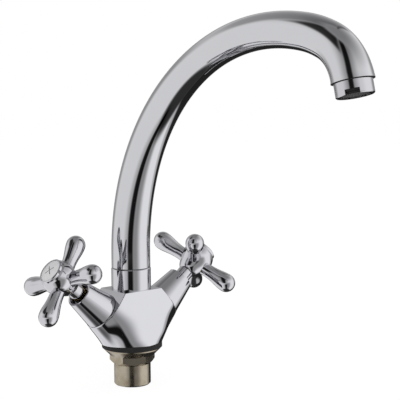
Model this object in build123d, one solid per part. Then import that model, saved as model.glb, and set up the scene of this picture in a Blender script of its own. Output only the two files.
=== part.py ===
from build123d import *
from math import cos, pi, radians, sin, sqrt, tan
import os

# A two handle kitchen mixer for one tap hole: a cast body with two arms that rise to the sides,
# a cross handle on each arm, and a swan neck spout that swivels on top.
# Millimetres. +Z is up, the spout points along -Y, the hot arm is at -X and the cold arm at +X.
# The origin is on the body's axis, in the plane of the deck, under the base gasket.
# Pieces of an arm are drawn about Z, with distances measured along the arm from the point
# where both arm axes cross the body's axis.

# ---- driving dimensions -------------------------------------------------------------------

# fits
RUN = 0.05                      # radial clearance where one piece turns in another
SEATED = 0.05                   # radial clearance between pieces pushed or screwed together
LOOSE = 0.4                     # radial clearance where nothing should touch
FILM = 0.02                     # grease film between flat faces that turn on each other
EDGE = 0.5                      # broken outer edges

# deck side
GASKET_RADIUS = 23.0
GASKET_HEIGHT = 4.0
GASKET_GROOVE_WIDTH = 0.5       # fine groove in the underside, round the edge of the shoulder
GASKET_GROOVE_DEPTH = 0.6
SHANK_RADIUS = 14.0
SHANK_LENGTH = 16.3
SHANK_CHAMFER = 1.0
HEX_ACROSS_FLATS = 30.0
HEX_HEIGHT = 4.1
HEX_TAPER = 3.0                 # height of the taper under the hexagon
SHOULDER_RADIUS = 21.8          # the 45 degree shoulder seats in a countersunk tap hole
SHOULDER_RIM = 1.2
SPIGOT_RADIUS = 12.6
SPIGOT_DEPTH = 7.0              # how far the spigot enters the body
HOSE_PORT_RADIUS = 4.6          # tapping drill of M10 x 1
HOSE_PORT_DEPTH = 14.0
HOSE_SPACING = 13.0
FEED_RADIUS = 3.5
STUD_HOLE_RADIUS = 3.4          # tapping drill of M8, for the fixing stud
STUD_HOLE_DEPTH = 12.0
STUD_OFFSET = 9.0

# body
BODY_TOP = 45.0
BASE_RADIUS = 22.4
ARM_ANGLE = 39.5                # above the horizontal
ARM_CROSSING = 7.44             # height where the arm axes cross the body's axis
ARM_RADIUS = 14.3               # where the sleeve seats
ARM_MIDDLE_RADIUS = 17.2        # halfway between the base and the seat
SEAT_DISTANCE = 37.4            # where the body's arm ends and the sleeve begins
SHIELD_SLICES = [               # height, half length, half depth, corner radius
    (GASKET_HEIGHT, BASE_RADIUS, BASE_RADIUS, BASE_RADIUS - 0.1),
    (12.0, 24.0, 22.5, 12.5),
    (25.7, 31.0, 21.0, 13.0),
    (38.0, 40.0, 17.3, 8.0),
    (BODY_TOP, 44.0, 16.0, 5.0),
]

# valve chamber in each arm
CHAMBER_FLOOR = 14.0
CHAMBER_RADIUS = 9.9
THREAD_START = 26.0
THREAD_RADIUS = 10.48           # G 1/2
SEAL_RECESS_RADIUS = 12.0
SEAL_RECESS_DEPTH = 1.8

# spout joint
MIXING_RADIUS = 8.0
MIXING_FLOOR = 22.0
SOCKET_FLOOR = 32.0
SOCKET_RADIUS = 9.6
BOSS_RADIUS = 12.0
BOSS_HEIGHT = 9.0
COLLAR_RADIUS = 15.0
COLLAR_HEIGHT = 16.0
COLLAR_LIP = 2.5
BEARING_THICKNESS = 1.5
RETAINER_THICKNESS = 1.6
RETAINER_RADIUS = 11.2
RETAINER_GRIP = 0.5             # how deep it sits in the nipple
RETAINER_SLIT = 3.0
GLIDE_THICKNESS = 0.6
GLIDE_INSET = 0.6               # how far the glide ring stays inside the collar's outline
NIPPLE_BORE_RADIUS = 6.5
NIPPLE_HEAD_HEIGHT = 8.0
NIPPLE_SEAL_HEIGHTS = (37.5, 42.5)
SEAL_SECTION = 0.9              # radius of a rubber ring's section

# spout
FOOT_RADIUS = 14.7
WAIST_RADIUS = 11.7
WAIST_PLACE = 0.62              # share of the spout's length
OUTLET_RADIUS = 13.4
OUTLET_WIDENING = 2.6           # power of the widening from waist to outlet, so most is near the end
OUTLET_LIP = 0.2                # how far the spout's rim stands out
OUTLET_LIP_LENGTH = 2.0
OUTLET_FITTING_LENGTH = 6.0     # brass end inside the tube, under the thread
SPOUT_WALL = 2.2
FOOT_STEP = 0.5                 # how much wider the foot is bored for the nipple's head
SPOUT_RISE = 10.9
SWAN_RADIUS = 162.9
SWAN_TURN = 99.0
EASE_RADIUS = 82.7              # between the swan bend and the tip's bend
EASE_TURN = 14.4
TIP_BEND_RADIUS = 35.0
TIP_BEND_TURN = 52.6
TIP_LENGTH = 0.5
SPOUT_STATIONS = 25

# aerator, distances along the flow from the end of the spout
AERATOR_RADIUS = 12.0
AERATOR_HEIGHT = 9.1
OUTLET_THREAD_RADIUS = 10.95    # M22 x 1
OUTLET_THREAD_LENGTH = 4.0
OUTLET_BORE_RADIUS = 9.0
WASHER_THICKNESS = 1.4
WASHER_BORE_RADIUS = 8.75
AERATOR_MOUTH_RADIUS = 9.4
AERATOR_LIP_THICKNESS = 2.3
WRENCH_ACROSS_FLATS = 22.2
WRENCH_FLAT_HEIGHT = 4.2
WRENCH_FLAT_TURN = 129.0
INSERT_RIM = 0.9
INSERT_WALL = 0.7
INSERT_WALL_PITCH = 3.6
SCREEN_THICKNESS = 0.5
SCREEN_RECESS = 0.6             # how far the screen stands back from the mouth
SCREEN_HOLE = 1.1
SCREEN_PITCH = 1.8

# headwork
SEAT_SEAL_HEIGHT = 2.0
SEAT_SEAL_RADIUS = 8.6
DISC_RADIUS = 7.6
DISC_THICKNESS = 3.0
PORT_INNER_RADIUS = 2.4
PORT_OUTER_RADIUS = 6.0
PORT_ANGLE = 80.0               # width of each of a disc's two ports
SKIRT_RADIUS = 8.9
SKIRT_BORE_RADIUS = 8.0
SKIRT_WINDOW_WIDTH = 9.0
SKIRT_WINDOW_HEIGHT = 2.2
FLANGE_RADIUS = 12.3
FLANGE_THICKNESS = 1.5
HEADWORK_HEX = 19.0
HEADWORK_HEX_HEIGHT = 6.1
NECK_RADIUS = 7.3
NECK_END = 56.0

# spindle
SPINDLE_RADIUS = 4.95
CARRIER_RADIUS = 7.5
CARRIER_BAR_WIDTH = 4.0
CARRIER_BAR_HEIGHT = 1.6
PRONG_LENGTH = 2.0
PRONG_WIDTH = 2.8
PRONG_DEPTH = 1.6
FRICTION_WASHER_THICKNESS = 0.8
SPINDLE_SEAL_PLACES = (40.9, 45.9)
CIRCLIP_THICKNESS = 1.0
CIRCLIP_RADIUS = 6.0
CIRCLIP_GROOVE_DEPTH = 0.9
CIRCLIP_OPENING = 3.0
SPLINE_RADIUS = 4.0
SPLINE_DEPTH = 0.35
SPLINE_TEETH = 20
SPLINE_START = 57.5
SPLINE_END = 76.5
SCREW_RADIUS = 2.1              # M5 core, threads are drawn plain
SCREW_LENGTH = 12.0
SCREW_HEAD_RADIUS = 4.2
SCREW_HEAD_HEIGHT = 3.0
SCREW_SLOT_LENGTH = 5.0
SCREW_SLOT_WIDTH = 0.9
SCREW_SLOT_DEPTH = 1.8

# bonnet sleeve
SLEEVE_BASE_RADIUS = 14.1
SLEEVE_END_RADIUS = 10.2
SLEEVE_END = 61.5
SLEEVE_WALL = 1.4
SLEEVE_WEB = 2.5

# handles, heights from the plane of the lobes
HANDLE_PLANE = 79.9
HANDLE_NECK_RADIUS = 6.0
HANDLE_NECK_START = -21.9
HUB_START = -10.8
HUB_SHOULDER_RADIUS = 9.8
HUB_SHOULDER = -5.0
HUB_RADIUS = 12.8
HUB_WIDEST = 4.8
GROOVE_RADIUS = 11.0
GROOVE_HEIGHT = 10.2
RIM_RADIUS = 10.0
RIM_START = 11.4
RIM_TOP = 13.5
RECESS_RADIUS = 6.9
RECESS_FLOOR = 1.6
BUTTON_RADIUS = 9.0
BUTTON_SEAT = 11.6
BUTTON_EDGE = 12.9
BUTTON_TOP = 14.1
BUTTON_SKIRT_WALL = 1.4
BUTTON_SKIRT_HEIGHT = 4.5
CROSS_LENGTH = 8.4
CROSS_WIDTH = 0.7
CROSS_DEPTH = 0.35
CROSS_TURN = 28.0               # from a lobe
LOBE_ROOT = 8.0
LOBE_ROOT_RADIUS = 5.3
LOBE_MIDDLE = 24.0
LOBE_MIDDLE_RADIUS = 6.4
LOBE_REACH = 31.2               # from the handle's axis to the middle of a lobe's round tip
LOBE_TIP_RADIUS = 7.2
LOBE_TURN = {"hot": 18.9, "cold": 50.4}     # first lobe, from the front towards the top

SIDES = {"hot": -1, "cold": 1}

# ---- worked out from the driving dimensions -------------------------------------------------

BODY_BOTTOM = GASKET_HEIGHT
SPIGOT_TOP = BODY_BOTTOM + SPIGOT_DEPTH
COLLAR_TOP = BODY_TOP + COLLAR_HEIGHT
LIP_BOTTOM = COLLAR_TOP - COLLAR_LIP
BEARING_BOTTOM = LIP_BOTTOM - BEARING_THICKNESS
RETAINER_TOP = BEARING_BOTTOM - FILM
RETAINER_BOTTOM = RETAINER_TOP - RETAINER_THICKNESS
GLIDE_BOTTOM = COLLAR_TOP + FILM
SPOUT_FOOT = GLIDE_BOTTOM + GLIDE_THICKNESS
NIPPLE_RADIUS = SOCKET_RADIUS - RUN
NIPPLE_BOTTOM = SOCKET_FLOOR + 1
FOOT_BORE_RADIUS = FOOT_RADIUS - SPOUT_WALL + FOOT_STEP
HEX_CORNER = HEX_ACROSS_FLATS / sqrt(3)
HEX_START = -SHOULDER_RIM - (SHOULDER_RADIUS - HEX_CORNER)
HEX_END = HEX_START - HEX_HEIGHT
TAPER_END = HEX_END - HEX_TAPER
SHANK_BOTTOM = TAPER_END - SHANK_LENGTH
SEAL_RECESS = SEAT_DISTANCE - SEAL_RECESS_DEPTH
FIXED_DISC_START = CHAMBER_FLOOR + SEAT_SEAL_HEIGHT
TURNING_DISC_START = FIXED_DISC_START + DISC_THICKNESS + FILM
CARRIER_START = TURNING_DISC_START + DISC_THICKNESS
SKIRT_TOP = THREAD_START - 0.2
FRICTION_WASHER_TOP = SKIRT_TOP - FILM
FRICTION_WASHER_START = FRICTION_WASHER_TOP - FRICTION_WASHER_THICKNESS
CIRCLIP_START = NECK_END + FILM
HEX_TOP = SEAT_DISTANCE + FLANGE_THICKNESS + HEADWORK_HEX_HEIGHT
THREAD_CORE = THREAD_RADIUS - SEATED
LIP_START = AERATOR_HEIGHT - AERATOR_LIP_THICKNESS
STANDING = (Align.CENTER, Align.CENTER, Align.MIN)
BEYOND = 1.0                    # how far a cutting tool runs past a face


# ---- helpers ----------------------------------------------------------------------------------

def rod(radius, bottom, top):
    """A plain cylinder about Z."""
    return Pos(0, 0, bottom) * Cylinder(radius, top - bottom, align=STANDING)


def ring(inner, outer, bottom, top):
    """A plain tube about Z."""
    return rod(outer, bottom, top) - rod(inner, bottom - BEYOND, top + BEYOND)


def turned(corners):
    """A body of revolution about Z from (radius, height) corners."""
    outline = Polyline([(radius, 0, height) for radius, height in corners], close=True)
    return revolve(make_face(outline), Axis.Z)


def hexagon(across_flats, bottom, top, turn):
    """A hexagonal prism about Z with a corner at the given turn from +X."""
    outline = RegularPolygon(across_flats / sqrt(3), 6, rotation=turn)
    return Pos(0, 0, bottom) * extrude(outline, top - bottom)


def rubber_ring(middle_radius, height, section):
    """A round rubber ring about Z."""
    return Pos(0, 0, height) * Torus(middle_radius, section)


def ring_groove(surface_radius, height):
    """The groove for a rubber ring in a turned piece of the given radius."""
    floor = surface_radius - 2 * SEAL_SECTION + RUN
    half = SEAL_SECTION + RUN
    return ring(floor - RUN, surface_radius + BEYOND, height - half, height + half)


def grooved_ring(surface_radius, height):
    """The rubber ring that sits in such a groove, just proud of the surface."""
    return rubber_ring(surface_radius - SEAL_SECTION + RUN / 2, height, SEAL_SECTION)


def serrated(radius, bottom, top):
    """A serrated rod about Z with straight teeth."""
    steps = 2 * SPLINE_TEETH
    corners = []
    for step in range(steps):
        reach = radius - SPLINE_DEPTH * (step % 2)
        angle = 2 * pi * step / steps
        corners.append((reach * cos(angle), reach * sin(angle)))
    outline = make_face(Polyline(corners, close=True))
    return Pos(0, 0, bottom) * extrude(outline, top - bottom)


def arm_plane(side):
    """An arm's own frame: Z runs outward along the arm, Y rises in the plane of the handle."""
    sign = SIDES[side]
    outward = (sign * cos(radians(ARM_ANGLE)), 0, sin(radians(ARM_ANGLE)))
    return Plane(origin=(0, 0, ARM_CROSSING), x_dir=(0, sign, 0), z_dir=outward)


def on_arm(side, piece):
    """Moves a piece that is drawn about Z onto an arm."""
    return arm_plane(side).location * piece


# ---- deck side ----------------------------------------------------------------------------------

def base_gasket():
    gasket = ring(SPIGOT_RADIUS + LOOSE, GASKET_RADIUS, 0, GASKET_HEIGHT)
    groove_outer = SHOULDER_RADIUS + GASKET_GROOVE_WIDTH / 2
    return gasket - ring(groove_outer - GASKET_GROOVE_WIDTH, groove_outer, -BEYOND, GASKET_GROOVE_DEPTH)


def mounting_shank():
    shoulder = turned([(0, 0), (SHOULDER_RADIUS, 0), (SHOULDER_RADIUS, -SHOULDER_RIM),
                       (HEX_CORNER, HEX_START), (0, HEX_START)])
    taper = turned([(0, HEX_END), (HEX_CORNER, HEX_END), (SHANK_RADIUS, TAPER_END), (0, TAPER_END)])
    taper &= hexagon(HEX_ACROSS_FLATS, TAPER_END, HEX_END, 30)
    stub = turned([(0, TAPER_END), (SHANK_RADIUS, TAPER_END),
                   (SHANK_RADIUS, SHANK_BOTTOM + SHANK_CHAMFER),
                   (SHANK_RADIUS - SHANK_CHAMFER, SHANK_BOTTOM), (0, SHANK_BOTTOM)])
    shank = shoulder + hexagon(HEX_ACROSS_FLATS, HEX_END, HEX_START, 30) + taper + stub
    shank += rod(SPIGOT_RADIUS, 0, SPIGOT_TOP)
    shank -= ring_groove(SPIGOT_RADIUS, BODY_BOTTOM + SPIGOT_DEPTH / 2)
    for sign in SIDES.values():
        port = rod(HOSE_PORT_RADIUS, SHANK_BOTTOM - BEYOND, SHANK_BOTTOM + HOSE_PORT_DEPTH)
        port += rod(FEED_RADIUS, SHANK_BOTTOM, SPIGOT_TOP + BEYOND)
        shank -= Pos(sign * HOSE_SPACING / 2, 0, 0) * port
    stud_hole = rod(STUD_HOLE_RADIUS, SHANK_BOTTOM - BEYOND, SHANK_BOTTOM + STUD_HOLE_DEPTH)
    return shank - Pos(0, STUD_OFFSET, 0) * stud_hole


def shank_o_ring():
    return grooved_ring(SPIGOT_RADIUS, BODY_BOTTOM + SPIGOT_DEPTH / 2)


# ---- body -----------------------------------------------------------------------------------------

def shield():
    """The domed middle of the body, lofted up through rounded rectangles."""
    faces = [Pos(0, 0, height) * RectangleRounded(2 * length, 2 * depth, corner)
             for height, length, depth, corner in SHIELD_SLICES]
    return loft(faces)


def arm_outside(side):
    """A skewed, slightly swollen cone from the round base to the seat of the sleeve."""
    base = Plane(origin=(0, 0, BODY_BOTTOM))
    seat = arm_plane(side).offset(SEAT_DISTANCE)
    middle = Plane(origin=(base.origin + seat.origin) / 2, x_dir=seat.x_dir,
                   z_dir=base.z_dir + seat.z_dir)
    return loft([base * Circle(BASE_RADIUS), middle * Circle(ARM_MIDDLE_RADIUS),
                 seat * Circle(ARM_RADIUS)])


def body_outside():
    reach = 4 * SEAT_DISTANCE
    block = Pos(0, 0, BODY_BOTTOM) * Box(reach, reach, BODY_TOP - BODY_BOTTOM, align=STANDING)
    outside = shield()
    for side in SIDES:
        outside += arm_outside(side) & block
    for side in SIDES:
        outside -= on_arm(side, Pos(0, 0, SEAT_DISTANCE) * Box(reach, reach, reach, align=STANDING))
    return outside + rod(BOSS_RADIUS, BODY_TOP - BEYOND, BODY_TOP + BOSS_HEIGHT)


def inlet_way(side):
    """From the shank up to the arm's axis, then out along the arm to the valve's seat."""
    offset = HOSE_SPACING / 2
    bend_height = ARM_CROSSING + offset * tan(radians(ARM_ANGLE))
    bend = Pos(SIDES[side] * offset, 0, bend_height)
    rise = Pos(SIDES[side] * offset, 0, 0) * rod(FEED_RADIUS, SPIGOT_TOP - BEYOND, bend_height)
    along = on_arm(side, rod(FEED_RADIUS, offset / cos(radians(ARM_ANGLE)), CHAMBER_FLOOR + BEYOND))
    return rise + bend * Sphere(FEED_RADIUS) + along


def mixer_body():
    body = body_outside()
    body -= rod(SOCKET_RADIUS, SOCKET_FLOOR, BODY_TOP + BOSS_HEIGHT + BEYOND)
    body -= rod(MIXING_RADIUS, MIXING_FLOOR, SOCKET_FLOOR + BEYOND)
    body -= rod(SPIGOT_RADIUS + SEATED, BODY_BOTTOM - BEYOND, SPIGOT_TOP)
    for side in SIDES:
        body -= inlet_way(side)
        chamber = rod(CHAMBER_RADIUS, CHAMBER_FLOOR, SEAT_DISTANCE)
        chamber += rod(THREAD_RADIUS, THREAD_START, SEAT_DISTANCE)
        chamber += rod(SEAL_RECESS_RADIUS, SEAL_RECESS, SEAT_DISTANCE + BEYOND)
        body -= on_arm(side, chamber)
    return body


# ---- spout joint --------------------------------------------------------------------------------

def spout_collar():
    bore = BOSS_RADIUS + SEATED
    lip = NIPPLE_RADIUS + LOOSE
    return turned([(bore, BODY_TOP), (COLLAR_RADIUS, BODY_TOP), (COLLAR_RADIUS, COLLAR_TOP - EDGE),
                   (COLLAR_RADIUS - EDGE, COLLAR_TOP), (lip, COLLAR_TOP), (lip, LIP_BOTTOM),
                   (bore, LIP_BOTTOM)])


def collar_bearing_ring():
    return ring(NIPPLE_RADIUS + RUN, BOSS_RADIUS, BEARING_BOTTOM, LIP_BOTTOM)


def spout_nipple():
    nipple = rod(NIPPLE_RADIUS, NIPPLE_BOTTOM, SPOUT_FOOT + BEYOND)
    nipple += rod(FOOT_BORE_RADIUS - SEATED, SPOUT_FOOT, SPOUT_FOOT + NIPPLE_HEAD_HEIGHT)
    nipple -= rod(NIPPLE_BORE_RADIUS, NIPPLE_BOTTOM - BEYOND, SPOUT_FOOT + NIPPLE_HEAD_HEIGHT + BEYOND)
    for height in NIPPLE_SEAL_HEIGHTS:
        nipple -= ring_groove(NIPPLE_RADIUS, height)
    clip_floor = NIPPLE_RADIUS - RETAINER_GRIP - 2 * RUN
    return nipple - ring(clip_floor, NIPPLE_RADIUS + BEYOND, RETAINER_BOTTOM - RUN, BEARING_BOTTOM)


def spout_o_rings():
    return Compound(children=[grooved_ring(NIPPLE_RADIUS, height) for height in NIPPLE_SEAL_HEIGHTS])


def spout_retaining_ring():
    """A slit ring that snaps into the nipple's upper groove, under the bearing ring."""
    snap = ring(NIPPLE_RADIUS - RETAINER_GRIP, RETAINER_RADIUS, RETAINER_BOTTOM, RETAINER_TOP)
    slit = Box(RETAINER_SLIT, 2 * RETAINER_RADIUS, 4 * RETAINER_THICKNESS,
               align=(Align.CENTER, Align.MIN, Align.CENTER))
    return snap - Pos(0, 0, RETAINER_BOTTOM) * slit


def spout_glide_ring():
    return ring(NIPPLE_RADIUS + SEATED, COLLAR_RADIUS - GLIDE_INSET, GLIDE_BOTTOM, SPOUT_FOOT)


# ---- spout ----------------------------------------------------------------------------------------

def spout_path():
    """Middle line of the spout: a short rise, the wide swan bend, then tighter towards the tip."""
    rise = Line((0, SPOUT_FOOT), (0, SPOUT_FOOT + SPOUT_RISE))
    swan = JernArc(rise @ 1, rise % 1, SWAN_RADIUS, -SWAN_TURN)
    ease = JernArc(swan @ 1, swan % 1, EASE_RADIUS, -EASE_TURN)
    bend = JernArc(ease @ 1, ease % 1, TIP_BEND_RADIUS, -TIP_BEND_TURN)
    tip = Line(bend @ 1, bend @ 1 + (bend % 1) * TIP_LENGTH)
    upright = Plane(origin=(0, 0, 0), x_dir=(0, -1, 0), z_dir=(-1, 0, 0))
    return upright.location * Wire([piece.edge() for piece in (rise, swan, ease, bend, tip)])


def spout_radius(share):
    """Outer radius along the spout: thick foot, slim waist, fuller outlet."""
    if share < WAIST_PLACE:
        blend = (1 + cos(pi * share / WAIST_PLACE)) / 2
        return WAIST_RADIUS + (FOOT_RADIUS - WAIST_RADIUS) * blend
    blend = ((share - WAIST_PLACE) / (1 - WAIST_PLACE)) ** OUTLET_WIDENING
    return WAIST_RADIUS + (OUTLET_RADIUS - WAIST_RADIUS) * blend


def across_spout(path, share):
    """Plane across the spout at a share of its length."""
    return Plane(origin=path @ share, x_dir=(1, 0, 0), z_dir=path % share)


def swan_neck(path, wall):
    """The spout's outline, drawn in by a wall."""
    circles = []
    for station in range(SPOUT_STATIONS):
        share = station / (SPOUT_STATIONS - 1)
        circles.append(across_spout(path, share) * Circle(spout_radius(share) - wall))
    return loft(circles)


def outlet_end():
    """Flared lip, end fitting and thread for the aerator, about Z with the outlet at zero."""
    inside_wall = OUTLET_RADIUS - SPOUT_WALL / 2
    rim = OUTLET_RADIUS + OUTLET_LIP
    lip = turned([(inside_wall, -OUTLET_LIP_LENGTH), (OUTLET_RADIUS - OUTLET_LIP, -OUTLET_LIP_LENGTH),
                  (rim, -OUTLET_LIP), (rim, 0), (inside_wall, 0)])
    fitting = ring(OUTLET_BORE_RADIUS, inside_wall, -OUTLET_FITTING_LENGTH, 0)
    return lip + fitting + ring(OUTLET_BORE_RADIUS, OUTLET_THREAD_RADIUS, -BEYOND, OUTLET_THREAD_LENGTH)


def spout_tube():
    path = spout_path()
    tube = swan_neck(path, 0) - swan_neck(path, SPOUT_WALL)
    tube -= rod(FOOT_BORE_RADIUS, SPOUT_FOOT - BEYOND, SPOUT_FOOT + NIPPLE_HEAD_HEIGHT)
    return tube + across_spout(path, 1).location * outlet_end()


# ---- aerator, drawn about Z with the water leaving along +Z --------------------------------------------

def on_outlet(piece):
    return across_spout(spout_path(), 1).location * piece


def aerator_housing():
    bore = OUTLET_THREAD_RADIUS + SEATED
    housing = turned([(bore, 0), (AERATOR_RADIUS, 0), (AERATOR_RADIUS, AERATOR_HEIGHT - EDGE),
                      (AERATOR_RADIUS - EDGE, AERATOR_HEIGHT), (AERATOR_MOUTH_RADIUS, AERATOR_HEIGHT),
                      (AERATOR_MOUTH_RADIUS, LIP_START), (bore, LIP_START)])
    beside = Pos(WRENCH_ACROSS_FLATS / 2, 0, AERATOR_HEIGHT - WRENCH_FLAT_HEIGHT)
    cut = beside * Box(AERATOR_RADIUS, 2 * AERATOR_RADIUS, AERATOR_HEIGHT,
                       align=(Align.MIN, Align.CENTER, Align.MIN))
    for turn in (0, 180):
        housing -= Rot(0, 0, WRENCH_FLAT_TURN + turn) * cut
    return on_outlet(housing)


def aerator_washer():
    return on_outlet(ring(WASHER_BORE_RADIUS, OUTLET_THREAD_RADIUS - SEATED, OUTLET_THREAD_LENGTH,
                          OUTLET_THREAD_LENGTH + WASHER_THICKNESS))


def aerator_insert():
    """Plastic flow straightener: a flanged cup with crossed walls, open to the screen."""
    flange_start = OUTLET_THREAD_LENGTH + WASHER_THICKNESS
    flange = OUTLET_THREAD_RADIUS - SEATED
    body = OUTLET_BORE_RADIUS - LOOSE
    nose = AERATOR_MOUTH_RADIUS - SEATED
    mouth = AERATOR_HEIGHT - SCREEN_RECESS
    floor = mouth - SCREEN_THICKNESS
    inner = body - INSERT_RIM
    insert = turned([(inner, BEYOND), (body, BEYOND), (body, flange_start),
                     (flange, flange_start), (flange, LIP_START),
                     (nose, LIP_START), (nose, mouth), (body, mouth), (body, floor), (inner, floor)])
    walls = Part()
    for turn in (0, 90):
        for place in (-1, 0, 1):
            wall = Box(INSERT_WALL, 2 * body, floor - BEYOND, align=STANDING)
            walls += Rot(0, 0, turn) * Pos(place * INSERT_WALL_PITCH, 0, BEYOND) * wall
    return on_outlet(insert + (walls & rod(inner + INSERT_RIM / 2, BEYOND, floor)))


def aerator_screen():
    """Round screen with square holes, seated in the insert's mouth."""
    outer = OUTLET_BORE_RADIUS - LOOSE - SEATED
    top = AERATOR_HEIGHT - SCREEN_RECESS
    sheet = rod(outer, top - SCREEN_THICKNESS, top)
    count = int(outer / SCREEN_PITCH)
    holes = []
    for column in range(-count, count + 1):
        for row in range(-count, count + 1):
            x = column * SCREEN_PITCH
            y = row * SCREEN_PITCH
            if sqrt(x * x + y * y) < outer - SCREEN_HOLE:
                holes.append(Pos(x, y, top) * Box(SCREEN_HOLE, SCREEN_HOLE, 4 * SCREEN_THICKNESS))
    return on_outlet(sheet - holes)


# ---- headwork, drawn about Z ------------------------------------------------------------------------

def seat_seal():
    return ring(PORT_OUTER_RADIUS, SEAT_SEAL_RADIUS, CHAMBER_FLOOR, FIXED_DISC_START)


def disc(bottom, quarter):
    """A ceramic disc with two opposite ports; a quarter turn closes one against the other."""
    blank = rod(DISC_RADIUS, bottom, bottom + DISC_THICKNESS)
    corner = 2 * PORT_OUTER_RADIUS
    half = radians(PORT_ANGLE / 2)
    wedge = make_face(Polyline((0, 0), (corner * cos(half), -corner * sin(half)),
                               (corner * cos(half), corner * sin(half)), close=True))
    wedge = Pos(0, 0, bottom - BEYOND) * extrude(wedge, DISC_THICKNESS + 2 * BEYOND)
    port = wedge & ring(PORT_INNER_RADIUS, PORT_OUTER_RADIUS, bottom - BEYOND,
                        bottom + DISC_THICKNESS + BEYOND)
    for turn in (0, 180):
        blank -= Rot(0, 0, 90 * quarter + turn) * port
    return blank


def prongs(clearance):
    """The spindle's two prongs, or the slots that take them."""
    prong = Box(PRONG_LENGTH + 3 * clearance, PRONG_WIDTH + 2 * clearance, PRONG_DEPTH + clearance + BEYOND,
                align=(Align.MAX, Align.CENTER, Align.MIN))
    pair = Part()
    for turn in (0, 180):
        place = Pos(CARRIER_RADIUS + 2 * clearance, 0, CARRIER_START - PRONG_DEPTH - clearance)
        pair += Rot(0, 0, turn) * place * prong
    return pair


def fixed_disc():
    return disc(FIXED_DISC_START, 0)


def rotating_disc():
    return disc(TURNING_DISC_START, 1) - prongs(RUN)


def headwork():
    """Brass valve housing: windowed skirt round the discs, thread, flange, hexagon and neck."""
    housing = turned([(0, FIXED_DISC_START), (SKIRT_RADIUS, FIXED_DISC_START), (SKIRT_RADIUS, THREAD_START),
                      (THREAD_CORE, THREAD_START), (THREAD_CORE, SEAT_DISTANCE),
                      (FLANGE_RADIUS, SEAT_DISTANCE), (FLANGE_RADIUS, SEAT_DISTANCE + FLANGE_THICKNESS),
                      (0, SEAT_DISTANCE + FLANGE_THICKNESS)])
    housing += hexagon(HEADWORK_HEX, SEAT_DISTANCE + FLANGE_THICKNESS, HEX_TOP, 0)
    housing += rod(NECK_RADIUS, HEX_TOP, NECK_END)
    housing -= rod(SKIRT_BORE_RADIUS, FIXED_DISC_START - BEYOND, SKIRT_TOP)
    housing -= rod(SPINDLE_RADIUS + RUN, THREAD_START - BEYOND, NECK_END + BEYOND)
    window = Box(SKIRT_WINDOW_WIDTH, 4 * SKIRT_RADIUS, SKIRT_WINDOW_HEIGHT, align=STANDING)
    return housing - Pos(0, 0, CARRIER_START) * window


def headwork_o_ring():
    section = (SEAL_RECESS_RADIUS - THREAD_CORE) / 2
    return rubber_ring(THREAD_CORE + section, SEAT_DISTANCE - SEAL_RECESS_DEPTH / 2, section - SEATED)


def spindle():
    """Disc carrier with its prongs, stem with two seal grooves, serrated head with a screw hole."""
    plate_start = CARRIER_START + CARRIER_BAR_HEIGHT
    stem = rod(SPINDLE_RADIUS, CARRIER_START, SPLINE_START)
    stem += rod(CARRIER_RADIUS, plate_start, FRICTION_WASHER_START)
    bar = Box(2 * CARRIER_RADIUS, CARRIER_BAR_WIDTH, CARRIER_BAR_HEIGHT, align=STANDING)
    stem += Pos(0, 0, CARRIER_START) * bar & rod(CARRIER_RADIUS, CARRIER_START, plate_start)
    stem += prongs(0) & rod(CARRIER_RADIUS, TURNING_DISC_START, plate_start)
    stem += serrated(SPLINE_RADIUS, SPLINE_START, SPLINE_END)
    for place in SPINDLE_SEAL_PLACES:
        stem -= ring_groove(SPINDLE_RADIUS, place)
    clip_floor = SPINDLE_RADIUS - CIRCLIP_GROOVE_DEPTH - RUN
    stem -= ring(clip_floor, SPINDLE_RADIUS + BEYOND, NECK_END, CIRCLIP_START + CIRCLIP_THICKNESS + RUN)
    return stem - rod(SCREW_RADIUS + SEATED, SPLINE_END - SCREW_LENGTH, SPLINE_END + BEYOND)


def friction_washer():
    return ring(SPINDLE_RADIUS + RUN, CARRIER_RADIUS, FRICTION_WASHER_START, FRICTION_WASHER_TOP)


def spindle_o_rings():
    return Compound(children=[grooved_ring(SPINDLE_RADIUS, place) for place in SPINDLE_SEAL_PLACES])


def spindle_circlip():
    inner = SPINDLE_RADIUS - CIRCLIP_GROOVE_DEPTH
    clip = ring(inner, CIRCLIP_RADIUS, CIRCLIP_START, CIRCLIP_START + CIRCLIP_THICKNESS)
    opening = Box(2 * CIRCLIP_RADIUS, CIRCLIP_OPENING, 4 * CIRCLIP_THICKNESS,
                  align=(Align.MIN, Align.CENTER, Align.CENTER))
    return clip - Pos(0, 0, CIRCLIP_START) * opening


def bonnet_sleeve():
    """Hollow cone over the headwork, screwed onto its neck by an inner web."""
    slope = (SLEEVE_BASE_RADIUS - SLEEVE_END_RADIUS) / (SLEEVE_END - SEAT_DISTANCE)
    web_top = HEX_TOP + SLEEVE_WEB

    def inside(place):
        return SLEEVE_BASE_RADIUS - SLEEVE_WALL - slope * (place - SEAT_DISTANCE)

    return turned([(inside(SEAT_DISTANCE), SEAT_DISTANCE), (SLEEVE_BASE_RADIUS, SEAT_DISTANCE),
                   (SLEEVE_END_RADIUS, SLEEVE_END), (inside(SLEEVE_END), SLEEVE_END),
                   (inside(web_top), web_top), (NECK_RADIUS + SEATED, web_top),
                   (NECK_RADIUS + SEATED, HEX_TOP), (inside(HEX_TOP), HEX_TOP)])


# ---- handles, drawn about Z -----------------------------------------------------------------------------

def on_handle(piece):
    """Moves a piece that is drawn from the plane of the lobes up to that plane."""
    return Pos(0, 0, HANDLE_PLANE) * piece


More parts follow.
